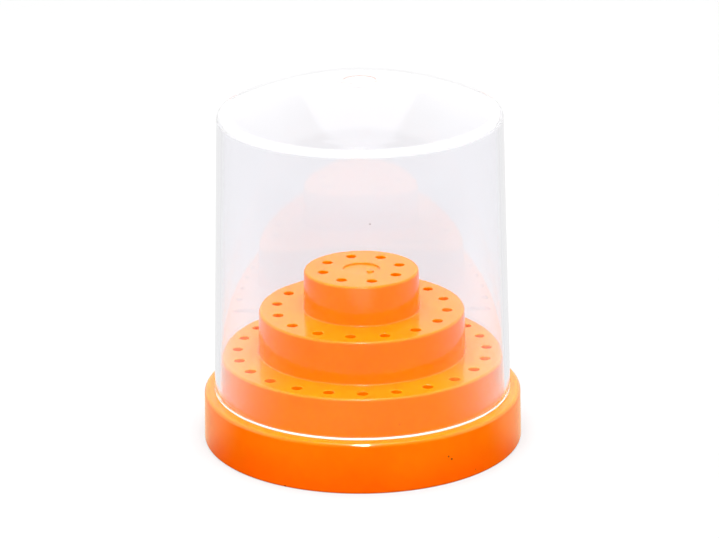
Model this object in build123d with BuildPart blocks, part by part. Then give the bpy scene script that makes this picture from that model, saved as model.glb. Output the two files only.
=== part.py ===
"""Round block for dental burs, with the clear domed cover that stands over it.

The block is one hollow moulding: three round tiers on a wide base, each tier's top pierced by a ring of
blind sockets whose sleeves hang inside the hollow. The cover is one clear moulding that slips over the
lowest tier and stands on the base. Millimetres, +Z up, origin at the centre of the foot.
"""

import os
from math import cos, radians, tan

from build123d import *

# Driving sizes of the block's outside
top_radius = 13.6          # top tier, at its foot
middle_ledge = 10.7        # how far the middle tier stands out beyond the top tier
low_ledge = 8.9            # how far the low tier stands out beyond the middle tier
base_ledge = 4.3           # how far the base stands out beyond the low tier
base_height = 12.0
low_height = 9.4
middle_height = 10.3
top_height = 9.5
wall_draft = 1.2           # degrees that every upright wall leans in
base_edge_round = 0.9
tier_edge_round = 0.6
tier_foot_round = 0.35
foot_round = 0.5

# Driving sizes of the block's inside
block_wall = 2.2
core_round = 0.7

# Driving sizes of the sockets
socket_radius = 1.2
socket_depth = 10.0
socket_floor = 1.5         # thickness under each socket
sleeve_wall = 1.3
sleeve_taper = 0.6         # degrees that each sleeve narrows downwards
mouth_bevel = 0.15
low_socket_count = 24
middle_socket_count = 16
top_socket_count = 8
low_socket_inset = 3.9     # from the tier's foot radius in to the ring of sockets
middle_socket_inset = 4.25
top_socket_inset = 4.4

# Driving sizes of the gate wells, where the plastic entered each moulding
block_gate_radius = 4.3
cover_gate_radius = 3.85
gate_depth = 0.4
gate_stub_radius = 0.9
gate_stub_height = 0.35
gate_stub_taper = 20
gate_stub_offset = 2.3     # the broken gate lies off the well's centre
gate_stub_angle = -44

# Driving sizes of the cover
cover_clearance = 0.3      # between the low tier's foot and the cover
cover_wall = 1.4
cover_wall_height = 67.0   # from the foot to the shoulder
cover_crown = 7.7          # from the shoulder to the top of the dome
cover_draft = 1.74
cover_shoulder_round = 1.6
cover_foot_round = 0.3

# Places worked out from the driving sizes
middle_radius = top_radius + middle_ledge
low_radius = middle_radius + low_ledge
base_radius = low_radius + base_ledge
low_top = base_height + low_height
middle_top = low_top + middle_height
top_top = middle_top + top_height
below_foot = -1.0          # a cut that starts here runs clear through the foot

foot_radii = (base_radius, low_radius, middle_radius, top_radius)
tier_tops = (base_height, low_top, middle_top, top_top)

low_circle = low_radius - low_socket_inset
middle_circle = middle_radius - middle_socket_inset
top_circle = top_radius - top_socket_inset
socket_rings = (
    (low_circle, low_socket_count, low_top),
    (middle_circle, middle_socket_count, middle_top),
    (top_circle, top_socket_count, top_top),
)


def stepped_outline(inset, bottom):
    """Corners of the stepped half section, with every wall and top moved in by inset."""
    corners = [(0, bottom)]
    foot = bottom
    for radius, top in zip(foot_radii, tier_tops):
        lean = (top - inset - foot) * tan(radians(wall_draft))
        corners.append((radius - inset, foot))
        corners.append((radius - inset - lean, top - inset))
        foot = top - inset
    corners.append((0, foot))
    return corners


def corners_at(sketch, points):
    """The sketch's corners nearest the given points of its own plane."""
    return [sketch.vertices().sort_by_distance((x, z))[0] for x, z in points]


outer_corners = stepped_outline(0, 0)
core_corners = stepped_outline(block_wall, below_foot)
base_foot, base_edge = outer_corners[1:3]
tier_feet, tier_edges = outer_corners[3:-1:2], outer_corners[4:-1:2]
core_corners_to_round = core_corners[2:-1]

# The block: a stepped outside, cored from below to an even wall
with BuildPart() as bur_block:
    with BuildSketch(Plane.XZ) as outside:
        with BuildLine():
            Polyline(*outer_corners, close=True)
        make_face()
        fillet(corners_at(outside, [base_foot]), foot_round)
        fillet(corners_at(outside, [base_edge]), base_edge_round)
        fillet(corners_at(outside, tier_feet), tier_foot_round)
        fillet(corners_at(outside, tier_edges), tier_edge_round)
    revolve(axis=Axis.Z)

    with BuildSketch(Plane.XZ) as core:
        with BuildLine():
            Polyline(*core_corners, close=True)
        make_face()
        fillet(corners_at(core, core_corners_to_round), core_round)
    revolve(axis=Axis.Z, mode=Mode.SUBTRACT)

    # A closed sleeve hangs from the top round each socket
    sleeve_length = socket_depth + socket_floor - block_wall / 2
    for circle_radius, count, top in socket_rings:
        with BuildSketch(Plane.XY.offset(top - block_wall / 2)):
            with PolarLocations(circle_radius, count):
                Circle(socket_radius + sleeve_wall)
        extrude(amount=-sleeve_length, taper=sleeve_taper)

    # The sockets, each with a small lead-in at its mouth
    for circle_radius, count, top in socket_rings:
        with Locations(Plane.XY.offset(top)):
            with PolarLocations(circle_radius, count):
                CounterSinkHole(socket_radius, socket_radius + mouth_bevel, socket_depth, 90)

    # The gate well in the top tier, and the stub of the gate in it
    with BuildSketch(Plane.XY.offset(top_top)):
        Circle(block_gate_radius)
    extrude(amount=-gate_depth, mode=Mode.SUBTRACT)
    with BuildSketch(Plane.XY.offset(top_top - gate_depth)):
        with PolarLocations(gate_stub_offset, 1, gate_stub_angle):
            Circle(gate_stub_radius)
    extrude(amount=gate_stub_height, taper=gate_stub_taper)

# The cover: a drafted wall and a domed top, shelled from its open foot
cover_foot_radius = low_radius + cover_clearance + cover_wall / cos(radians(cover_draft))
shoulder_radius = cover_foot_radius - cover_wall_height * tan(radians(cover_draft))
shoulder_height = base_height + cover_wall_height
dome_top = shoulder_height + cover_crown

with BuildPart() as clear_cover:
    with BuildSketch(Plane.XZ) as dome:
        with BuildLine():
            foot_line = Line((0, base_height), (cover_foot_radius, base_height))
            wall_line = Line(foot_line @ 1, (shoulder_radius, shoulder_height))
            crown_line = TangentArc((0, dome_top), wall_line @ 1, tangent=(1, 0))
            Line(crown_line @ 0, foot_line @ 0)
        make_face()
        fillet(corners_at(dome, [(shoulder_radius, shoulder_height)]), cover_shoulder_round)
    revolve(axis=Axis.Z)
    mouth = clear_cover.faces().sort_by(Axis.Z)[0]
    offset(amount=-cover_wall, openings=mouth)

    # The gate well in the top of the dome
    with BuildSketch(Plane.XY.offset(dome_top)):
        Circle(cover_gate_radius)
    extrude(amount=-gate_depth, mode=Mode.SUBTRACT)

    foot_rims = clear_cover.edges().group_by(Axis.Z)[0]
    fillet(foot_rims, cover_foot_round)

os.makedirs("parts", exist_ok=True)
for name, piece in (("bur_block", bur_block), ("clear_cover", clear_cover)):
    piece.part.label = name
    export_step(piece.part, f"parts/{name}.step")
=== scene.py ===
"""Looks of the round dental bur block and its clear domed cover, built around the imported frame.

The block and the cover are turned and moulded forms, so each is a finely stepped revolved mesh with true
rounds. Sizes are in metres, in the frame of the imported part: +Z up, origin at the centre of the foot.
"""

import logging
import math
from dataclasses import dataclass
from enum import Enum
from typing import Callable

import bmesh
import bpy
from mathutils import Matrix, Vector

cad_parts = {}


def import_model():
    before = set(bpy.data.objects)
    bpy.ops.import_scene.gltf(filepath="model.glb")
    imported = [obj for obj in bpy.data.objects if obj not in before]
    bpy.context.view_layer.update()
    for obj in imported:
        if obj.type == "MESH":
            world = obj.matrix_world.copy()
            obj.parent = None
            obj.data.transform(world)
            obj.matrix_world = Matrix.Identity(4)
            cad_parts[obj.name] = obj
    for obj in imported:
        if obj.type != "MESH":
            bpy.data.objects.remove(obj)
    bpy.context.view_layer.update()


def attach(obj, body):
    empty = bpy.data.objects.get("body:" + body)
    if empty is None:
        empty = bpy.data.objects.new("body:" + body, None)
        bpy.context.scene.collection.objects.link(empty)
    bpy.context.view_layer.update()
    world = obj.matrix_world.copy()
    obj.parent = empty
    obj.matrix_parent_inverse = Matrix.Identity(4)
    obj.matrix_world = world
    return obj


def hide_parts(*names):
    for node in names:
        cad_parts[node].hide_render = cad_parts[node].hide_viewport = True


LOG = logging.getLogger("bur_block")
MM = 0.001
ON_AXIS = 1e-7             # a point nearer to the axis than this lies on it
BROAD_FACES_LEAD = 100     # how far broad faces set the shading of the rounds beside them

Point = tuple[float, float]
Span = tuple[float, float]
Colour = tuple[float, float, float]
Socket = bpy.types.NodeSocket

WHITE: Colour = (1.0, 1.0, 1.0)
FLAT = (1, 1, 0)           # what a place is multiplied by to lose its height


class Body(Enum):
    """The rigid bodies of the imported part."""

    BLOCK = "block"
    COVER = "cover"


class Slot(Enum):
    """The names of the two material slots."""

    BLOCK = "block_plastic"
    COVER = "cover_plastic"


class Mark(Enum):
    """What a mesh marks for its material."""

    SOCKET = "socket_share"


class Combine(Enum):
    """How one closed mesh is joined to another."""

    ADD = "UNION"
    CUT = "DIFFERENCE"


def rounded(corners: list[Point], radii: list[float], steps: int) -> list[Point]:
    """Rounds the corners of an open outline with arcs.

    Args:
        corners: The outline's corners, as (radius, height).
        radii: The round of each corner, 0 for a sharp one.
        steps: How many straight pieces make each arc.

    Returns:
        The outline's points, with an arc in place of each rounded corner.
    """
    points: list[Point] = []
    for i, (corner, radius) in enumerate(zip(corners, radii)):
        if radius == 0:
            points.append(corner)
            continue
        here = Vector(corner)
        back = (Vector(corners[i - 1]) - here).normalized()
        ahead = (Vector(corners[i + 1]) - here).normalized()
        half = back.angle(ahead) / 2
        reach = radius / math.tan(half)
        centre = here + (back + ahead).normalized() * (radius / math.sin(half))
        start = here + back * reach - centre
        end = here + ahead * reach - centre
        sweep = start.angle_signed(end)
        for k in range(steps + 1):
            turned = Matrix.Rotation(-sweep * k / steps, 2) @ start
            points.append((centre.x + turned.x, centre.y + turned.y))
    return points


def arc_from_top(top: float, radius: float, end: float, steps: int) -> list[Point]:
    """Points of a dome's arc, from the axis out.

    Args:
        top: Height of the dome's highest point.
        radius: Radius of the sphere that the dome is part of.
        end: Distance from the axis at which the arc ends.
        steps: How many straight pieces make the arc.

    Returns:
        The arc's points, as (radius, height).
    """
    last = math.asin(end / radius)
    angles = [last * k / steps for k in range(steps + 1)]
    return [(radius * math.sin(a), top - radius * (1 - math.cos(a))) for a in angles]


def dome_height(top: float, sphere: float, radius: float) -> float:
    """Height of a dome at a distance from the axis."""
    return top - sphere + math.sqrt(sphere**2 - radius**2)


def linked(name: str, mesh: bmesh.types.BMesh) -> bpy.types.Object:
    """Makes an object of a bmesh, links it to the scene and frees the bmesh.

    Args:
        name: Name of the new object and its mesh.
        mesh: What the object is made of.

    Returns:
        The new object.
    """
    data = bpy.data.meshes.new(name)
    mesh.to_mesh(data)
    mesh.free()
    made = bpy.data.objects.new(name, data)
    bpy.context.scene.collection.objects.link(made)
    return made


def removed(thing: bpy.types.Object) -> None:
    """Deletes an object and its mesh.

    Args:
        thing: The object that is no longer needed.
    """
    data = thing.data
    bpy.data.objects.remove(thing)
    bpy.data.meshes.remove(data)


def revolved(name: str, outline: list[Point], turns: int) -> bpy.types.Object:
    """Turns an outline about the Z axis into a mesh.

    Args:
        name: Name of the new object.
        outline: Points as (radius, height); a radius of 0 lies on the axis.
        turns: How many steps make the full circle.

    Returns:
        The new object, linked to the scene.
    """
    mesh = bmesh.new()
    angles = [2 * math.pi * k / turns for k in range(turns)]
    rings = []
    for radius, height in outline:
        if radius < ON_AXIS:
            rings.append([mesh.verts.new((0, 0, height))])
            continue
        rings.append([mesh.verts.new((radius * math.cos(a), radius * math.sin(a), height)) for a in angles])
    for low, high in zip(rings, rings[1:]):
        for k in range(turns):
            nxt = (k + 1) % turns
            if len(low) == 1:
                mesh.faces.new((low[0], high[k], high[nxt]))
            elif len(high) == 1:
                mesh.faces.new((low[k], high[0], low[nxt]))
            else:
                mesh.faces.new((low[k], high[k], high[nxt], low[nxt]))
    bmesh.ops.recalc_face_normals(mesh, faces=mesh.faces)
    return linked(name, mesh)


def ring_of(name: str, outline: list[Point], turns: int, places: list[Vector]) -> bpy.types.Object:
    """Copies of one revolved form, each on its own upright axis, in one mesh.

    Args:
        name: Name of the new object.
        outline: Points as (radius, height) about each copy's axis.
        turns: How many steps make each copy's circle.
        places: Where each copy's origin goes.

    Returns:
        The new object.
    """
    pattern = revolved(name + "_pattern", outline, turns)
    mesh = bmesh.new()
    for place in places:
        before = len(mesh.verts)
        mesh.from_mesh(pattern.data)
        mesh.verts.ensure_lookup_table()
        bmesh.ops.translate(mesh, verts=mesh.verts[before:], vec=place)
    removed(pattern)
    return linked(name, mesh)


def share_at_points(piece: bpy.types.Object, mark: Mark, share: Callable[[Vector], float]) -> None:
    """Keeps a share from 0 to 1 at each point of a mesh, for its material to read.

    Args:
        piece: The object whose mesh is marked.
        mark: What is marked.
        share: What gives the share of a point.
    """
    kept = piece.data.attributes.new(mark.value, "FLOAT", "POINT")
    kept.data.foreach_set("value", [share(point.co) for point in piece.data.vertices])


def combined(base: bpy.types.Object, tool: bpy.types.Object, how: Combine) -> None:
    """Joins a closed mesh to another for good, and deletes the tool.

    Args:
        base: The object that is changed.
        tool: The object that is added or cut away.
        how: Whether the tool is added or cut.
    """
    step = base.modifiers.new("combine", "BOOLEAN")
    step.operation = how.value
    step.solver = "EXACT"
    step.object = tool
    settled(base)
    removed(tool)


def settled(piece: bpy.types.Object) -> None:
    """Makes what an object's modifiers do part of its mesh.

    Args:
        piece: The object, which is left with no modifier.
    """
    graph = bpy.context.evaluated_depsgraph_get()
    result = bpy.data.meshes.new_from_object(piece.evaluated_get(graph))
    piece.modifiers.clear()
    old = piece.data
    piece.data = result
    bpy.data.meshes.remove(old)


def smooth_shaded(piece: bpy.types.Object, sharp_over: float) -> None:
    """Shades a piece smooth, with flat faces kept flat and corners kept sharp.

    Args:
        piece: The object to shade.
        sharp_over: Angle over which an edge stays sharp.
    """
    data = piece.data
    data.polygons.foreach_set("use_smooth", [True] * len(data.polygons))
    data.set_sharp_from_angle(angle=sharp_over)
    weighted = piece.modifiers.new("even_normals", "WEIGHTED_NORMAL")
    weighted.keep_sharp = True
    weighted.weight = BROAD_FACES_LEAD
    settled(piece)


@dataclass
class BurBlock:
    """The stepped orange block: one hollow moulding with three rings of blind sockets."""

    foot_radii: tuple[float, ...] = (37.5 * MM, 33.2 * MM, 24.3 * MM, 13.6 * MM)
    tops: tuple[float, ...] = (12.0 * MM, 21.4 * MM, 31.7 * MM, 41.2 * MM)
    draft: float = math.radians(1.2)
    foot_round: float = 0.5 * MM
    base_round: float = 0.9 * MM
    edge_round: float = 0.6 * MM
    inner_round: float = 0.35 * MM
    wall: float = 2.2 * MM
    core_round: float = 0.7 * MM
    ring_radii: tuple[float, ...] = (29.3 * MM, 20.05 * MM, 9.2 * MM)
    ring_counts: tuple[int, ...] = (24, 16, 8)
    socket_radius: float = 1.2 * MM
    socket_depth: float = 10.0 * MM
    mouth_round: float = 0.18 * MM
    mouth_overcut: float = 0.5 * MM
    sleeve_radius: float = 2.5 * MM
    sleeve_end_radius: float = 2.39 * MM
    sleeve_length: float = 11.5 * MM
    well_radius: float = 4.3 * MM
    well_depth: float = 0.4 * MM
    well_round: float = 0.15 * MM
    stub_radius: float = 0.9 * MM
    stub_height: float = 0.35 * MM
    stub_place: Point = (1.655 * MM, -1.598 * MM)
    stub_rim: tuple[Point, ...] = ((0.8, 0.97), (0.9, 0.8))
    mark_across: float = 1.224 * MM
    mark_deep: float = 10.1 * MM
    sharp_over: float = math.radians(35)
    round_steps: int = 6
    mouth_steps: int = 4
    turns: int = 240
    sleeve_turns: int = 24
    socket_turns: int = 32
    stub_turns: int = 20

    def outline(self) -> list[Point]:
        """The closed half section, from the gate well round the outside to the hollow's ceiling.

        Returns:
            The section's points, as (radius, height).
        """
        top = self.tops[-1]
        well_floor = top - self.well_depth
        corners: list[Point] = [(0, well_floor), (self.well_radius, well_floor), (self.well_radius, top)]
        rounds: list[float] = [0, self.well_round, self.well_round]
        levels = list(zip(self.foot_radii, (0.0,) + self.tops[:-1], self.tops))
        for radius, foot, head in reversed(levels):
            lean = (head - foot) * math.tan(self.draft)
            corners += [(radius - lean, head), (radius, foot)]
            rounds += [self.edge_round, self.inner_round]
        rounds[-2:] = [self.base_round, self.foot_round]
        foot = 0.0
        for radius, _, head in levels:
            ceiling = head - self.wall
            lean = (ceiling - foot) * math.tan(self.draft)
            corners += [(radius - self.wall, foot), (radius - self.wall - lean, ceiling)]
            rounds += [0 if foot == 0 else self.core_round, self.core_round]
            foot = ceiling
        corners.append((0, foot))
        rounds.append(0)
        return rounded(corners, rounds, self.round_steps)

    def places(self) -> list[Vector]:
        """Where the sockets are.

        Returns:
            The centre of each socket's mouth.
        """
        spots = []
        for radius, count, top in zip(self.ring_radii, self.ring_counts, self.tops[1:]):
            for k in range(count):
                turn = 2 * math.pi * k / count
                spots.append(Vector((radius * math.cos(turn), radius * math.sin(turn), top)))
        return spots

    def socket_outline(self) -> list[Point]:
        """Half section of what each socket cuts away, with a flared mouth.

        Returns:
            The section's points, as (radius, height) from the mouth's centre.
        """
        angles = [math.pi / 2 * k / self.mouth_steps for k in range(self.mouth_steps + 1)]
        flare = [(self.socket_radius + self.mouth_round * (1 - math.sin(a)),
                  -self.mouth_round * (1 - math.cos(a))) for a in angles]
        over = [(0, self.mouth_overcut), (flare[0][0], self.mouth_overcut)]
        return over + flare + [(self.socket_radius, -self.socket_depth), (0, -self.socket_depth)]

    def sleeve_outline(self) -> list[Point]:
        """Half section of the sleeve that hangs round each socket.

        Returns:
            The section's points, as (radius, height) from the mouth's centre.
        """
        start = -self.wall / 2
        return [(0, start), (self.sleeve_radius, start),
                (self.sleeve_end_radius, -self.sleeve_length), (0, -self.sleeve_length)]

    def stub_outline(self) -> list[Point]:
        """Half section of the broken gate's stub, which reaches into the well's floor.

        Returns:
            The section's points, as (radius, height) from the floor.
        """
        rim = [(self.stub_radius * out, self.stub_height * up) for out, up in self.stub_rim]
        below = [(self.stub_radius, 0), (self.stub_radius, -self.stub_height), (0, -self.stub_height)]
        return [(0, self.stub_height)] + rim + below

    def socket_share(self, point: Vector) -> float:
        """Says whether a point is on a socket's wall or floor.

        Args:
            point: A point of the block's mesh.

        Returns:
            1 on a socket's wall or floor, and 0 elsewhere.
        """
        for place in self.places():
            across = (point - place).xy.length
            if across < self.mark_across and 0 < place.z - point.z < self.mark_deep:
                return 1.0
        return 0.0

    def build(self) -> bpy.types.Object:
        """Makes the block's mesh.

        Returns:
            The block's object.
        """
        block = revolved("bur_block_moulding", self.outline(), self.turns)
        sleeves = ring_of("sleeves", self.sleeve_outline(), self.sleeve_turns, self.places())
        combined(block, sleeves, Combine.ADD)
        sockets = ring_of("sockets", self.socket_outline(), self.socket_turns, self.places())
        combined(block, sockets, Combine.CUT)
        stub_foot = Vector((*self.stub_place, self.tops[-1] - self.well_depth))
        stub = ring_of("stub", self.stub_outline(), self.stub_turns, [stub_foot])
        combined(block, stub, Combine.ADD)
        smooth_shaded(block, self.sharp_over)
        share_at_points(block, Mark.SOCKET, self.socket_share)
        return block


@dataclass
class DomedCover:
    """The clear cover: a drafted wall and a domed top of even thickness, open at the foot."""

    foot: float = 12.0 * MM
    foot_radius: float = 34.9 * MM
    wall: float = 1.4 * MM
    shoulder: float = 79.0 * MM
    crown: float = 7.7 * MM
    draft: float = math.radians(1.74)
    shoulder_round: float = 1.6 * MM
    least_inner_round: float = 0.4 * MM
    foot_round: float = 0.3 * MM
    well_radius: float = 3.85 * MM
    well_depth: float = 0.4 * MM
    arc_from_well: float = 0.3 * MM
    arc_to_shoulder: float = 3.0 * MM
    arc_to_corner: float = 2.0 * MM
    sharp_over: float = math.radians(40)
    arc_steps: int = 40
    round_steps: int = 8
    halvings: int = 50
    turns: int = 256

    def outline(self) -> list[Point]:
        """The closed half section, from the gate well down the outside and up the inside.

        Returns:
            The section's points, as (radius, height).
        """
        shoulder_radius = self.foot_radius - (self.shoulder - self.foot) * math.tan(self.draft)
        sphere = (shoulder_radius**2 + self.crown**2) / (2 * self.crown)
        top = self.shoulder + self.crown
        inner_foot = self.foot_radius - self.wall / math.cos(self.draft)
        inner_corner = self.wall_meets_dome(inner_foot, sphere - self.wall, top - self.wall)
        inner_round = max(self.shoulder_round - self.wall, self.least_inner_round)
        dome = arc_from_top(top, sphere, shoulder_radius, self.arc_steps)
        ceiling = arc_from_top(top - self.wall, sphere - self.wall, shoulder_radius - self.wall,
                               self.arc_steps)
        arc_start = self.well_radius + self.arc_from_well
        outside = [p for p in dome if arc_start < p[0] < shoulder_radius - self.arc_to_shoulder]
        inside = [p for p in ceiling if p[0] < inner_corner[0] - self.arc_to_corner]
        well_floor = top - self.well_depth
        well = [(0, well_floor), (self.well_radius, well_floor),
                (self.well_radius, dome_height(top, sphere, self.well_radius))]
        down = rounded(
            [outside[-1], (shoulder_radius, self.shoulder), (self.foot_radius, self.foot),
             (inner_foot, self.foot), inner_corner, inside[-1]],
            [0, self.shoulder_round, self.foot_round, self.foot_round, inner_round, 0], self.round_steps)
        return well + outside[:-1] + down + inside[-2::-1]

    def wall_meets_dome(self, inner_foot: float, sphere: float, top: float) -> Point:
        """Finds where the inside of the wall meets the inside of the dome, by halving.

        Args:
            inner_foot: Inner radius of the wall at its foot.
            sphere: Radius of the dome's inside.
            top: Height of the dome's inside on the axis.

        Returns:
            The meeting point, as (radius, height).
        """
        lean = math.tan(self.draft)
        low, high = self.foot, top
        for _ in range(self.halvings):
            middle = (low + high) / 2
            if dome_height(top, sphere, inner_foot - (middle - self.foot) * lean) > middle:
                low = middle
            else:
                high = middle
        return (inner_foot - (low - self.foot) * lean, low)

    def build(self) -> bpy.types.Object:
        """Makes the cover's mesh.

        Returns:
            The cover's object.
        """
        cover = revolved("clear_cover_moulding", self.outline(), self.turns)
        smooth_shaded(cover, self.sharp_over)
        return cover


@dataclass(frozen=True)
class Lumps:
    """A smooth noise: its lumps along a metre, its finer layers, and how strong each finer layer is."""

    scale: float
    detail: float
    roughness: float


class Shade:
    """A node tree, with short calls to add and join its nodes."""

    def __init__(self, name: str) -> None:
        """Makes an empty material with only its output node.

        Args:
            name: The material's name.
        """
        self.material = bpy.data.materials.new(name)
        self.material.use_nodes = True
        self.clear(self.material.node_tree, "ShaderNodeOutputMaterial")

    @classmethod
    def of_tree(cls, tree: bpy.types.NodeTree, output: str) -> "Shade":
        """Takes a tree that isn't a material's, such as the world's.

        Args:
            tree: The tree, which is emptied.
            output: The kind of its output node.

        Returns:
            The tree with its short calls.
        """
        shade = cls.__new__(cls)
        shade.clear(tree, output)
        return shade

    def clear(self, tree: bpy.types.NodeTree, output: str) -> None:
        """Empties a tree down to one output node.

        Args:
            tree: The tree to work on from here.
            output: The kind of its output node.
        """
        self.tree = tree
        self.tree.nodes.clear()
        self.output = self.add(output)

    def add(self, kind: str, **settings: object) -> bpy.types.Node:
        """Adds a node.

        Args:
            kind: The kind of node.
            settings: The node's properties, by name.

        Returns:
            The new node.
        """
        node = self.tree.nodes.new(kind)
        for key, value in settings.items():
            setattr(node, key, value)
        return node

    def join(self, source: Socket, target: Socket) -> None:
        """Links one socket to another."""
        self.tree.links.new(source, target)

    def ramp(self, value: Socket, span: Span, about: float = 0.0) -> Socket:
        """A share that goes smoothly from 0 to 1 over a span of a value.

        Args:
            value: The value.
            span: Where the share is 0 and where it is 1.
            about: The value that the span counts from.

        Returns:
            The socket with the share.
        """
        share = self.add("ShaderNodeMapRange", interpolation_type="SMOOTHSTEP")
        share.inputs["From Min"].default_value = about + span[0]
        share.inputs["From Max"].default_value = about + span[1]
        self.join(value, share.inputs["Value"])
        return share.outputs["Result"]

    def level(self, share: Socket, span: Span) -> Socket:
        """A value that goes along a span as a share goes from 0 to 1.

        Args:
            share: The share.
            span: The value at a share of 0 and at a share of 1.

        Returns:
            The socket with the value.
        """
        along = self.add("ShaderNodeMapRange")
        along.inputs["To Min"].default_value = span[0]
        along.inputs["To Max"].default_value = span[1]
        self.join(share, along.inputs["Value"])
        return along.outputs["Result"]

    def mixed(self, share: Socket, first: "Colour | Socket", second: "Colour | Socket") -> Socket:
        """Mixes two colours, each a colour or a socket that gives one.

        Args:
            share: How much of the second colour shows.
            first: The first colour.
            second: The second colour.

        Returns:
            The socket with the mixed colour.
        """
        mix = self.add("ShaderNodeMix", data_type="RGBA")
        self.join(share, mix.inputs["Factor"])
        for side, colour in (("A", first), ("B", second)):
            socket = next(i for i in mix.inputs if i.name == side and i.type == "RGBA")
            if isinstance(colour, tuple):
                socket.default_value = (*colour, 1)
            else:
                self.join(colour, socket)
        return next(o for o in mix.outputs if o.type == "RGBA")

    def value_mix(self, share: Socket, first: "float | Socket", second: "float | Socket") -> Socket:
        """Mixes two values, each a number or a socket that gives one.

        Args:
            share: How much of the second value counts.
            first: The first value.
            second: The second value.

        Returns:
            The socket with the mixed value.
        """
        mix = self.add("ShaderNodeMix", data_type="FLOAT")
        self.join(share, mix.inputs["Factor"])
        for side, value in (("A", first), ("B", second)):
            socket = next(i for i in mix.inputs if i.name == side and i.type == "VALUE")
            if isinstance(value, float):
                socket.default_value = value
            else:
                self.join(value, socket)
        return next(o for o in mix.outputs if o.type == "VALUE")

    def shader_mix(self, share: Socket, first: Socket, second: Socket) -> Socket:
        """Mixes two shaders.

        Args:
            share: How much of the second shader shows.
            first: The first shader.
            second: The second shader.

        Returns:
            The socket with the mixed shader.
        """
        mix = self.add("ShaderNodeMixShader")
        for source, target in zip((share, first, second), mix.inputs):
            self.join(source, target)
        return mix.outputs[0]

    def worked_out(self, operation: str, first: Socket, second: Socket, within: bool = False) -> Socket:
        """Works out one value from two.

        Args:
            operation: What is done, such as MULTIPLY.
            first: The first value.
            second: The second value.
            within: Whether the result is kept from 0 to 1.

        Returns:
            The socket with the result.
        """
        node = self.add("ShaderNodeMath", operation=operation, use_clamp=within)
        self.join(first, node.inputs[0])
        self.join(second, node.inputs[1])
        return node.outputs[0]

    def product(self, first: Socket, second: Socket) -> Socket:
        """Multiplies two values."""
        return self.worked_out("MULTIPLY", first, second)

    def most(self, first: Socket, second: Socket) -> Socket:
        """The larger of two values."""
        return self.worked_out("MAXIMUM", first, second)

    def place(self) -> Socket:
        """The place on the object, in its own frame."""
        return self.add("ShaderNodeTexCoord").outputs["Object"]

    def height(self, place: Socket) -> Socket:
        """The height of a place, or how far a direction points up.

        Args:
            place: The place or direction.

        Returns:
            The socket with the height.
        """
        parts = self.add("ShaderNodeSeparateXYZ")
        self.join(place, parts.inputs[0])
        return parts.outputs["Z"]

    def vector(self, operation: str, place: Socket, other: "Vector | tuple | None" = None) -> bpy.types.Node:
        """Works on a place or a direction.

        Args:
            operation: What is done, such as LENGTH.
            place: The place or direction.
            other: The fixed one that it is taken with, if there is one.

        Returns:
            The node with the result.
        """
        node = self.add("ShaderNodeVectorMath", operation=operation)
        self.join(place, node.inputs[0])
        if other is not None:
            node.inputs[1].default_value = other
        return node

    def noise(self, place: Socket, lumps: Lumps) -> Socket:
        """Smooth noise from 0 to 1.

        Args:
            place: The place.
            lumps: The noise's scale and layers.

        Returns:
            The socket with the noise.
        """
        noise = self.add("ShaderNodeTexNoise")
        noise.inputs["Scale"].default_value = lumps.scale
        noise.inputs["Detail"].default_value = lumps.detail
        noise.inputs["Roughness"].default_value = lumps.roughness
        self.join(place, noise.inputs["Vector"])
        return noise.outputs["Fac"]

    def bump(self, height: Socket, depth: float, under: "Socket | None" = None) -> Socket:
        """A normal that follows a height.

        Args:
            height: The height, from 0 to 1.
            depth: The height's full depth in metres.
            under: The normal of a coarser bump below, if there is one.

        Returns:
            The socket with the normal.
        """
        raised = self.add("ShaderNodeBump")
        raised.inputs["Distance"].default_value = depth
        self.join(height, raised.inputs["Height"])
        if under is not None:
            self.join(under, raised.inputs["Normal"])
        return raised.outputs["Normal"]


class Effect(Shade):
    """A shared effect: a shader node group that gives masks, values and normals to the materials."""

    def __init__(self, name: str, **gives: str) -> None:
        """Makes an empty group.

        Args:
            name: The group's name.
            gives: The kind of socket of each output, by the output's name.
        """
        tree = bpy.data.node_groups.new(name, "ShaderNodeTree")
        for output, kind in gives.items():
            tree.interface.new_socket(output, in_out="OUTPUT", socket_type=kind)
        self.clear(tree, "NodeGroupOutput")

    def give(self, output: str, source: Socket) -> None:
        """Links one of the group's outputs."""
        self.join(source, self.output.inputs[output])


@dataclass(frozen=True)
class MouldedSkin:
    """The fine unevenness of a glossy moulding: slow ripples, a fine grain and faint rubbed patches."""

    ripples: Lumps = Lumps(130.0, 2.0, 0.4)
    ripple_depth: float = 0.02 * MM
    grain: Lumps = Lumps(1500.0, 2.0, 0.6)
    grain_depth: float = 0.0012 * MM
    patches: Lumps = Lumps(45.0, 3.0, 0.55)

    def group(self) -> bpy.types.NodeTree:
        """Makes the shared group.

        Returns:
            The group, which gives the patches' mask and the surface's normal.
        """
        effect = Effect("moulded_skin", Patches="NodeSocketFloat", Normal="NodeSocketVector")
        place = effect.place()
        slow = effect.bump(effect.noise(place, self.ripples), self.ripple_depth)
        effect.give("Normal", effect.bump(effect.noise(place, self.grain), self.grain_depth, slow))
        effect.give("Patches", effect.noise(place, self.patches))
        return effect.tree


@dataclass(frozen=True)
class Speck:
    """One tiny dark speck or pit: its angle from the front, height, distance from the axis and size."""

    angle: float
    height: float
    radius: float
    size: float

    def place(self, front: float) -> Vector:
        """Works out the speck's centre.

        Args:
            front: The angle at which the front lies.

        Returns:
            The centre, in the part's frame.
        """
        turn = front + math.radians(self.angle)
        return Vector((self.radius * math.cos(turn), self.radius * math.sin(turn), self.height))


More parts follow.
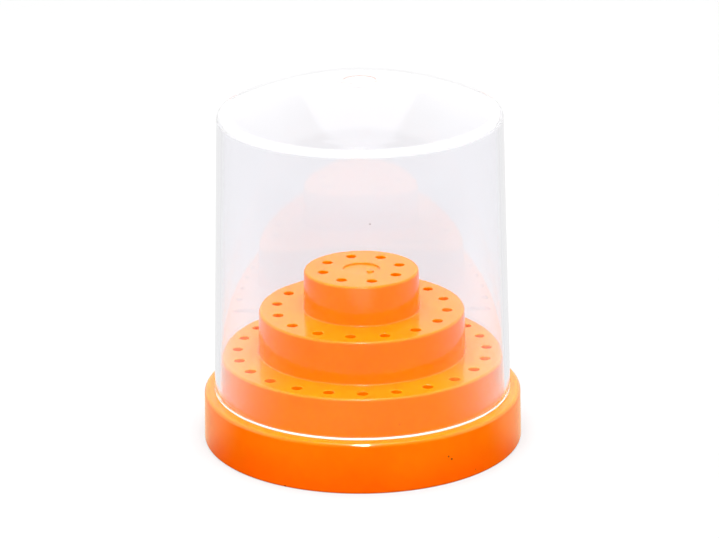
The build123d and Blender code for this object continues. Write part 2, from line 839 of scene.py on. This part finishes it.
COVER_SPECKS = (
    Speck(3.43, 62.8 * MM, 33.36 * MM, 0.22 * MM),
    Speck(-41.5, 79.1 * MM, 32.6 * MM, 0.3 * MM),
)
BLOCK_SPECKS = (
    Speck(31.2, 6.72 * MM, 37.36 * MM, 0.24 * MM),
    Speck(32.5, 5.92 * MM, 37.38 * MM, 0.3 * MM),
    Speck(-27.9, 17.8 * MM, 33.08 * MM, 0.12 * MM),
    Speck(14.2, 14.9 * MM, 33.14 * MM, 0.2 * MM),
    Speck(55.0, 13.6 * MM, 33.17 * MM, 0.16 * MM),
    Speck(-30.2, 27.4 * MM, 24.17 * MM, 0.13 * MM),
    Speck(-63.6, 27.3 * MM, 24.18 * MM, 0.2 * MM),
    Speck(70.0, 25.4 * MM, 24.22 * MM, 0.17 * MM),
    Speck(-20.7, 35.9 * MM, 13.51 * MM, 0.14 * MM),
    Speck(25.8, 32.9 * MM, 13.58 * MM, 0.12 * MM),
    Speck(-28.4, 0.35 * MM, 37.49 * MM, 0.25 * MM),
    Speck(43.3, 1.56 * MM, 37.47 * MM, 0.12 * MM),
)


@dataclass(frozen=True)
class Specks:
    """Tiny dark specks in the plastic, where the object shows them."""

    name: str
    specks: tuple[Speck, ...]
    front: float = math.radians(-105)
    core: float = 0.55         # the share of a speck's size within which it is darkest

    def group(self) -> bpy.types.NodeTree:
        """Makes the group whose mask is 1 in each speck.

        Returns:
            The group.
        """
        effect = Effect(self.name, Mask="NodeSocketFloat")
        place = effect.place()
        mask = None
        for speck in self.specks:
            away = effect.vector("DISTANCE", place, speck.place(self.front)).outputs["Value"]
            spot = effect.ramp(away, (speck.size, speck.size * self.core))
            mask = spot if mask is None else effect.most(mask, spot)
        effect.give("Mask", mask)
        return effect.tree


@dataclass(frozen=True)
class BlockPlastic:
    """Glossy, slightly translucent orange moulding plastic, with painted shade at the foot, painted light on
    the tiers and a painted glow in the sockets.
    """

    # painted shade: the base is deeper orange towards its foot and paler towards its rim
    painted_shade_foot_colour: Colour = (1.0, 0.125, 0.0004)
    painted_light_rim_colour: Colour = (1.0, 0.17, 0.0006)
    # painted light: the tiers are paler than the base, making up for the light the cover takes
    painted_light_low_tier_colour: Colour = (1.0, 0.234, 0.005)
    painted_light_tier_colour: Colour = (1.0, 0.218, 0.002)
    # painted glow: the sockets are paler, standing for light shining through the thin plastic
    painted_glow_socket_colour: Colour = (0.9, 0.27, 0.0)
    speck_colour: Colour = (0.12, 0.02, 0.004)
    base_height: float = 12.0 * MM
    low_top: float = 21.4 * MM
    foot_fade: Span = (0.0, 10.2 * MM)
    base_fade: Span = (-0.6 * MM, 0.6 * MM)
    low_fade: Span = (-0.642 * MM, 0.642 * MM)
    patch_value: Span = (0.93, 1.07)
    patch_hue: Span = (0.4955, 0.5045)
    roughness: Span = (0.054, 0.126)
    ior: float = 1.5
    glow_weight: float = 0.55
    glow_depth: float = 2.2 * MM
    glow_spread: Colour = (1.0, 0.45, 0.1)

    def material(self, skin: bpy.types.NodeTree, specks: bpy.types.NodeTree) -> bpy.types.Material:
        """Makes the block's material.

        Args:
            skin: The group of the moulded skin.
            specks: The group of the block's specks.

        Returns:
            The material.
        """
        shade = Shade("orange_moulding_plastic")
        surface = shade.add("ShaderNodeBsdfPrincipled")
        surface.inputs["IOR"].default_value = self.ior
        surface.inputs["Subsurface Weight"].default_value = self.glow_weight
        surface.inputs["Subsurface Scale"].default_value = self.glow_depth
        surface.inputs["Subsurface Radius"].default_value = self.glow_spread
        moulded = shade.add("ShaderNodeGroup", node_tree=skin)
        marks = shade.add("ShaderNodeGroup", node_tree=specks)
        patches = moulded.outputs["Patches"]
        tone = shade.add("ShaderNodeHueSaturation")
        shade.join(self.colour_with_painted_light(shade), tone.inputs["Color"])
        shade.join(shade.level(patches, self.patch_value), tone.inputs["Value"])
        shade.join(shade.level(patches, self.patch_hue), tone.inputs["Hue"])
        flecked = shade.mixed(marks.outputs["Mask"], tone.outputs["Color"], self.speck_colour)
        shade.join(flecked, surface.inputs["Base Color"])
        shade.join(shade.level(patches, self.roughness), surface.inputs["Roughness"])
        shade.join(moulded.outputs["Normal"], surface.inputs["Normal"])
        shade.join(surface.outputs[0], shade.output.inputs["Surface"])
        return shade.material

    def colour_with_painted_light(self, shade: Shade) -> Socket:
        """Gives the plastic's colour, with painted shade and painted light by height and a painted glow
        inside the sockets.

        Args:
            shade: The material.

        Returns:
            The socket with the colour.
        """
        height = shade.height(shade.place())
        # painted shade towards the base's foot, and painted light at its rim and on the tiers
        up_base = shade.ramp(height, self.foot_fade)
        on_tiers = shade.ramp(height, self.base_fade, self.base_height)
        on_upper = shade.ramp(height, self.low_fade, self.low_top)
        base = shade.mixed(up_base, self.painted_shade_foot_colour, self.painted_light_rim_colour)
        low_tier = shade.mixed(on_tiers, base, self.painted_light_low_tier_colour)
        tiers = shade.mixed(on_upper, low_tier, self.painted_light_tier_colour)
        # the socket walls and floors get a painted glow
        in_socket = shade.add("ShaderNodeAttribute", attribute_name=Mark.SOCKET.value)
        return shade.mixed(in_socket.outputs["Fac"], tiers, self.painted_glow_socket_colour)


@dataclass(frozen=True)
class ClearPlastic:
    """Clear moulded plastic with a faint cool tint, a paler painted-light tint on the dome, and a painted
    glow where its thick rounds gather light.
    """

    wall_colour: Colour = (0.925, 0.921, 0.945)
    # painted light: the dome's tint is paler than the wall's
    painted_light_dome_colour: Colour = (0.955, 0.948, 0.958)
    # painted glow in white, and a painted pinkish reflection of the orange block at the gate ring
    painted_glow_colour: Colour = (0.95, 0.94, 0.95)
    painted_orange_reflection_colour: Colour = (0.95, 0.5, 0.42)
    speck_colour: Colour = (0.25, 0.2, 0.2)
    let_through: Colour = (0.98, 0.98, 0.99)
    ior: float = 1.49
    patch_value: Span = (0.99, 1.01)
    foot: float = 12.0 * MM
    shoulder: float = 79.0 * MM
    top: float = 86.7 * MM
    well_radius: float = 3.85 * MM
    dome_fade: Span = (-1.0 * MM, 0.5 * MM)
    foot_fade: Span = (0.264 * MM, 0.176 * MM)
    band_start: Span = (-1.6 * MM, -1.0 * MM)
    band_end: Span = (-0.3 * MM, -0.75 * MM)
    ring_start: Span = (-0.05 * MM, -0.02 * MM)
    ring_end: Span = (0.45 * MM, 0.2 * MM)
    ring_height: Span = (-0.5 * MM, -0.45 * MM)
    foot_painted_glow: Span = (0.0, 0.8)
    band_painted_glow: Span = (0.0, 0.3)
    ring_painted_reflection: Span = (0.0, 0.3)
    bounces: Span = (8.0, 9.0)     # the count at which a ray stops bending in the plastic
    mirrored: Span = (2.0, 3.0)    # the count of mirrored bounces at which it stops too

    def material(self, skin: bpy.types.NodeTree, specks: bpy.types.NodeTree) -> bpy.types.Material:
        """Makes the cover's material.

        Args:
            skin: The group of the moulded skin.
            specks: The group of the cover's specks.

        Returns:
            The material.
        """
        shade = Shade("clear_cover_plastic")
        place = shade.place()
        height = shade.height(place)
        surface = self.clear_surface(shade, height, skin, specks)
        near_top = shade.ramp(height, self.ring_height, self.top)
        # a matt diffuse that paints a white glow at the foot and shoulder and a reflection of the orange
        # block at the gate ring
        painted_glow_surface = shade.add("ShaderNodeBsdfDiffuse")
        shade.join(shade.mixed(near_top, self.painted_glow_colour, self.painted_orange_reflection_colour), painted_glow_surface.inputs["Color"])
        gathered = self.painted_glow_share(shade, place, height, near_top)
        edged = shade.shader_mix(gathered, surface, painted_glow_surface.outputs[0])
        straight = shade.add("ShaderNodeBsdfTransparent")
        straight.inputs["Color"].default_value = (*self.let_through, 1)
        either = shade.shader_mix(self.goes_straight(shade), edged, straight.outputs[0])
        shade.join(either, shade.output.inputs["Surface"])
        return shade.material

    def clear_surface(self, shade: Shade, height: Socket, skin: bpy.types.NodeTree,
                      specks: bpy.types.NodeTree) -> Socket:
        """Makes the clear plastic itself.

        Args:
            shade: The material.
            height: The height on the cover.
            skin: The group of the moulded skin.
            specks: The group of the cover's specks.

        Returns:
            The socket with the clear plastic's shader.
        """
        surface = shade.add("ShaderNodeBsdfPrincipled")
        surface.inputs["Roughness"].default_value = 0
        surface.inputs["IOR"].default_value = self.ior
        surface.inputs["Transmission Weight"].default_value = 1
        moulded = shade.add("ShaderNodeGroup", node_tree=skin)
        marks = shade.add("ShaderNodeGroup", node_tree=specks)
        # the dome's paler tint is painted light
        on_dome = shade.ramp(height, self.dome_fade, self.shoulder)
        tone = shade.add("ShaderNodeHueSaturation")
        shade.join(shade.mixed(on_dome, self.wall_colour, self.painted_light_dome_colour), tone.inputs["Color"])
        shade.join(shade.level(moulded.outputs["Patches"], self.patch_value), tone.inputs["Value"])
        flecked = shade.mixed(marks.outputs["Mask"], tone.outputs["Color"], self.speck_colour)
        shade.join(flecked, surface.inputs["Base Color"])
        shade.join(moulded.outputs["Normal"], surface.inputs["Normal"])
        return surface.outputs[0]

    def painted_glow_share(self, shade: Shade, place: Socket, height: Socket, near_top: Socket) -> Socket:
        """Says how much painted glow, a matt diffuse in place of gathered light, shows at the foot, shoulder
        and gate well.

        Args:
            shade: The material.
            place: The place on the cover.
            height: The height on the cover.
            near_top: 1 at the height of the gate well.

        Returns:
            The socket with the share of painted glow.
        """
        foot = shade.ramp(height, self.foot_fade, self.foot)
        band = shade.product(shade.ramp(height, self.band_start, self.shoulder),
                             shade.ramp(height, self.band_end, self.shoulder))
        flat = shade.vector("MULTIPLY", place, FLAT).outputs[0]
        off_axis = shade.vector("LENGTH", flat).outputs["Value"]
        round_well = shade.product(shade.ramp(off_axis, self.ring_start, self.well_radius),
                                   shade.ramp(off_axis, self.ring_end, self.well_radius))
        ring = shade.product(round_well, near_top)
        ends = shade.most(shade.level(foot, self.foot_painted_glow), shade.level(ring, self.ring_painted_reflection))
        return shade.most(ends, shade.level(band, self.band_painted_glow))

    def goes_straight(self, shade: Shade) -> Socket:
        """Says which rays pass the plastic unbent: light for matt surfaces, and rays caught in the wall.

        Args:
            shade: The material.

        Returns:
            The socket with 1 for such a ray.
        """
        path = shade.add("ShaderNodeLightPath")
        lighting = shade.most(path.outputs["Is Shadow Ray"], path.outputs["Is Diffuse Ray"])
        caught = shade.ramp(path.outputs["Glossy Depth"], self.mirrored)
        deep = shade.ramp(path.outputs["Ray Depth"], self.bounces)
        return shade.most(lighting, shade.most(caught, deep))


@dataclass(frozen=True)
class Lamp:
    """One square soft light on the viewer's side: its height as an angle, distance, width and power."""

    name: str
    elevation: float
    distance: float
    size: float
    power: float
    in_gloss: bool = True
    on_matt: bool = True


LAMPS = (
    Lamp("overhead_soft_light", 89, 1.2, 1.0, 21.0, in_gloss=False),
    Lamp("front_top_light", 62, 0.9, 0.07, 1.4),
    Lamp("front_fill_light", 25, 1.2, 0.9, 4.0, in_gloss=False),
    Lamp("glint_light", 62, 0.9, 0.12, 30.0, on_matt=False),
)


@dataclass
class Studio:
    """The pale floor, the soft lights, the white surroundings and the camera."""

    azimuth: float = math.radians(-15)
    elevation: float = math.radians(19.09)
    distance: float = 700.7 * MM
    target_height: float = 40 * MM
    lens: float = 150.45
    sensor_width: float = 36.0
    clip_start: float = 10 * MM
    focal_pixels: float = 3004.8
    off_centre_pixels: Point = (1.885, 3.101)
    roll: float = math.radians(-0.568)
    lamp_aim: float = 30 * MM
    floor_size: float = 3.0
    paint: Colour = (0.2, 0.2, 0.2)
    lift: Span = (0.58, 0.0)           # the floor's own light, to the eye and to what it lights
    first_bounce: Span = (0.0, 1.0)
    both_walls: Span = (3.0, 4.0)      # the count of surfaces when a ray has been through both walls
    mirrored_again: Span = (1.0, 2.0)
    front_fade: Span = (-0.1, 0.75)    # how far ahead a direction points as the front goes dim
    front_level: float = 0.0
    inside_level: float = 0.6
    caught_level: float = 0.93
    back_level: float = 1.28
    gap_edge: float = 0.82
    gap_fade: Span = (-0.025, 0.025)
    gap_level: float = 0.82
    lamp_edge: float = 0.95
    lamp_fade: Span = (-0.01, 0.01)
    lamp_level: float = 2.2
    floor_level: float = 0.95
    floor_outside: float = 0.8835
    floor_inside: float = 1.045
    beyond_level: float = 1.9
    close_fade: Span = (0.0, 22 * MM)
    beyond_fade: Span = (125 * MM, 140 * MM)
    far_fade: Span = (240 * MM, 320 * MM)
    # painted bounce light: the mirrored floor turns warm close to the orange block
    painted_bounce_fade: Span = (75 * MM, 120 * MM)
    painted_bounce_colour: Colour = (1.0, 0.84, 0.55)

    def towards(self, elevation: float, distance: float) -> Vector:
        """A place on the viewer's side of the object.

        Args:
            elevation: The angle at which it is seen above the horizon.
            distance: How far away it is.

        Returns:
            The place, from the object's foot.
        """
        turn = self.azimuth - math.pi / 2
        flat = distance * math.cos(elevation)
        return Vector((flat * math.cos(turn), flat * math.sin(turn), distance * math.sin(elevation)))

    def camera(self) -> None:
        """Places the camera at the photo's viewing angle."""
        data = bpy.data.cameras.new("photo_camera")
        data.lens = self.lens
        data.sensor_width = self.sensor_width
        data.clip_start = self.clip_start
        camera = bpy.data.objects.new("photo_camera", data)
        bpy.context.scene.collection.objects.link(camera)
        target = Vector((0, 0, self.target_height))
        place = target + self.towards(self.elevation, self.distance)
        aim = (target - place).to_track_quat("-Z", "Y").to_matrix().to_4x4()
        yaw, pitch = (math.atan(off / self.focal_pixels) for off in self.off_centre_pixels)
        turned = (Matrix.Rotation(yaw, 4, "Y") @ Matrix.Rotation(pitch, 4, "X")
                  @ Matrix.Rotation(self.roll, 4, "Z"))
        camera.matrix_world = Matrix.Translation(place) @ aim @ turned
        bpy.context.scene.camera = camera

    def light(self, lamp: Lamp) -> None:
        """Hangs one lamp, which faces the object and doesn't show through the cover.

        Args:
            lamp: The lamp.
        """
        data = bpy.data.lights.new(lamp.name, "AREA")
        data.size = lamp.size
        data.energy = lamp.power
        hung = bpy.data.objects.new(lamp.name, data)
        bpy.context.scene.collection.objects.link(hung)
        hung.location = self.towards(math.radians(lamp.elevation), lamp.distance)
        aim = Vector((0, 0, self.lamp_aim)) - hung.location
        hung.rotation_euler = aim.to_track_quat("-Z", "Y").to_euler()
        hung.visible_glossy = lamp.in_gloss
        hung.visible_diffuse = lamp.on_matt
        hung.visible_transmission = False

    def ahead(self, shade: Shade, place: Socket) -> Socket:
        """How far a place or a direction lies towards the viewer's side of the studio."""
        return shade.vector("DOT_PRODUCT", place, self.towards(0, 1)).outputs["Value"]

    def in_gloss(self, shade: Shade) -> Socket:
        """1 for a ray that comes from a mirror-like surface, and 0 for any other."""
        path = shade.add("ShaderNodeLightPath").outputs
        return shade.worked_out("SUBTRACT", path["Glossy Depth"], path["Diffuse Depth"], within=True)

    def surroundings(self) -> None:
        """Makes the white world, which gloss sees as a white room with a dim front and a lit ceiling."""
        world = bpy.data.worlds.new("white_surroundings")
        world.use_nodes = True
        shade = Shade.of_tree(world.node_tree, "ShaderNodeOutputWorld")
        direction = shade.add("ShaderNodeTexCoord").outputs["Generated"]
        path = shade.add("ShaderNodeLightPath").outputs
        front = shade.ramp(self.ahead(shade, direction), self.front_fade)
        height = shade.height(direction)
        gap = shade.ramp(height, self.gap_fade, self.gap_edge)
        lamp = shade.ramp(height, self.lamp_fade, self.lamp_edge)
        upper = shade.value_mix(gap, self.back_level, self.gap_level)
        ceiling = shade.value_mix(lamp, upper, self.lamp_level)
        inside = shade.ramp(path["Transmission Depth"], self.both_walls)
        outside_level = shade.value_mix(path["Is Singular Ray"], self.front_level, self.caught_level)
        ahead = shade.value_mix(inside, outside_level, self.inside_level)
        mirrored = shade.product(ceiling, shade.value_mix(front, 1.0, ahead))
        sky = shade.add("ShaderNodeBackground")
        sky.inputs["Color"].default_value = (*WHITE, 1)
        shade.join(shade.value_mix(self.in_gloss(shade), 1.0, mirrored), sky.inputs["Strength"])
        shade.join(sky.outputs[0], shade.output.inputs["Surface"])
        bpy.context.scene.world = world

    def floor(self) -> None:
        """Lays the pale floor: white with a soft shadow, its own look in gloss, and clear from below."""
        mesh = bmesh.new()
        bmesh.ops.create_grid(mesh, x_segments=1, y_segments=1, size=self.floor_size)
        floor = linked("pale_floor", mesh)
        shade = Shade("pale_floor_paint")
        paint = shade.add("ShaderNodeBsdfDiffuse")
        paint.inputs["Color"].default_value = (*self.paint, 1)
        bounced = shade.ramp(shade.add("ShaderNodeLightPath").outputs["Diffuse Depth"], self.first_bounce)
        glow = shade.add("ShaderNodeEmission")
        glow.inputs["Color"].default_value = (*WHITE, 1)
        shade.join(shade.level(bounced, self.lift), glow.inputs["Strength"])
        white = shade.add("ShaderNodeAddShader")
        shade.join(paint.outputs[0], white.inputs[0])
        shade.join(glow.outputs[0], white.inputs[1])
        seen = shade.shader_mix(self.in_gloss(shade), white.outputs[0], self.mirrored_floor(shade))
        backfacing = shade.add("ShaderNodeNewGeometry").outputs["Backfacing"]
        nothing = shade.add("ShaderNodeBsdfTransparent").outputs[0]
        shade.join(shade.shader_mix(backfacing, seen, nothing), shade.output.inputs["Surface"])
        floor.data.materials.append(shade.material)

    def mirrored_floor(self, shade: Shade) -> Socket:
        """Makes what gloss sees of the floor: dim in front of the object, and warm close to it as a painted
        orange bounce light.

        Args:
            shade: The floor's material.

        Returns:
            The socket with the emission that stands for the floor in gloss.
        """
        path = shade.add("ShaderNodeLightPath").outputs
        clear = path["Is Singular Ray"]
        inside = shade.ramp(path["Transmission Depth"], self.both_walls)
        again = shade.ramp(path["Glossy Depth"], self.mirrored_again)
        place = shade.add("ShaderNodeNewGeometry").outputs["Position"]
        reach = shade.vector("LENGTH", place).outputs["Value"]
        direction = shade.vector("NORMALIZE", place).outputs[0]
        along = self.ahead(shade, place)
        close = shade.ramp(along, self.close_fade)
        wide = shade.ramp(self.ahead(shade, direction), self.front_fade)
        front = shade.value_mix(clear, close, wide)
        near_dark = shade.level(inside, (self.front_level, self.inside_level))
        dark = shade.value_mix(again, near_dark, self.caught_level)
        far = shade.value_mix(shade.ramp(reach, self.far_fade), dark, self.caught_level)
        beyond = shade.product(shade.ramp(along, self.beyond_fade), inside)
        ahead = shade.value_mix(beyond, far, self.beyond_level)
        around = shade.value_mix(inside, self.floor_outside, self.floor_inside)
        behind = shade.value_mix(clear, self.floor_level, around)
        mirrored = shade.add("ShaderNodeEmission")
        # near the object the mirrored floor is tinted warm, a painted bounce of light from the orange block
        untinted = shade.most(shade.ramp(reach, self.painted_bounce_fade), clear)
        shade.join(shade.mixed(untinted, self.painted_bounce_colour, WHITE), mirrored.inputs["Color"])
        shade.join(shade.value_mix(front, behind, ahead), mirrored.inputs["Strength"])
        return mirrored.outputs[0]

    def build(self) -> None:
        """Sets up the whole studio."""
        self.floor()
        for lamp in LAMPS:
            self.light(lamp)
        self.surroundings()
        self.camera()
        bpy.context.scene.view_settings.view_transform = "Standard"


def placed(piece: bpy.types.Object, material: bpy.types.Material, node: str, body: Body) -> None:
    """Dresses a piece, sets it on its body and lets it stand for its node.

    Args:
        piece: The finished object.
        material: What it is made of.
        node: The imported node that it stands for.
        body: The body that it moves with.
    """
    piece.data.materials.clear()
    piece.data.materials.append(material)
    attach(piece, body.value)
    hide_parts(node)
    LOG.info("%s: %d faces, stands for %s", piece.name, len(piece.data.polygons), node)


def main() -> None:
    """Builds the pieces in order around the frame."""
    logging.basicConfig(level=logging.INFO, format="%(name)s: %(message)s")
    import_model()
    skin = MouldedSkin().group()
    orange = BlockPlastic().material(skin, Specks("block_specks", BLOCK_SPECKS).group())
    clear = ClearPlastic().material(skin, Specks("cover_specks", COVER_SPECKS).group())
    placed(BurBlock().build(), orange, "bur_block", Body.BLOCK)
    placed(DomedCover().build(), clear, "clear_cover", Body.COVER)
    Studio().build()


if __name__ == "__main__":
    main()
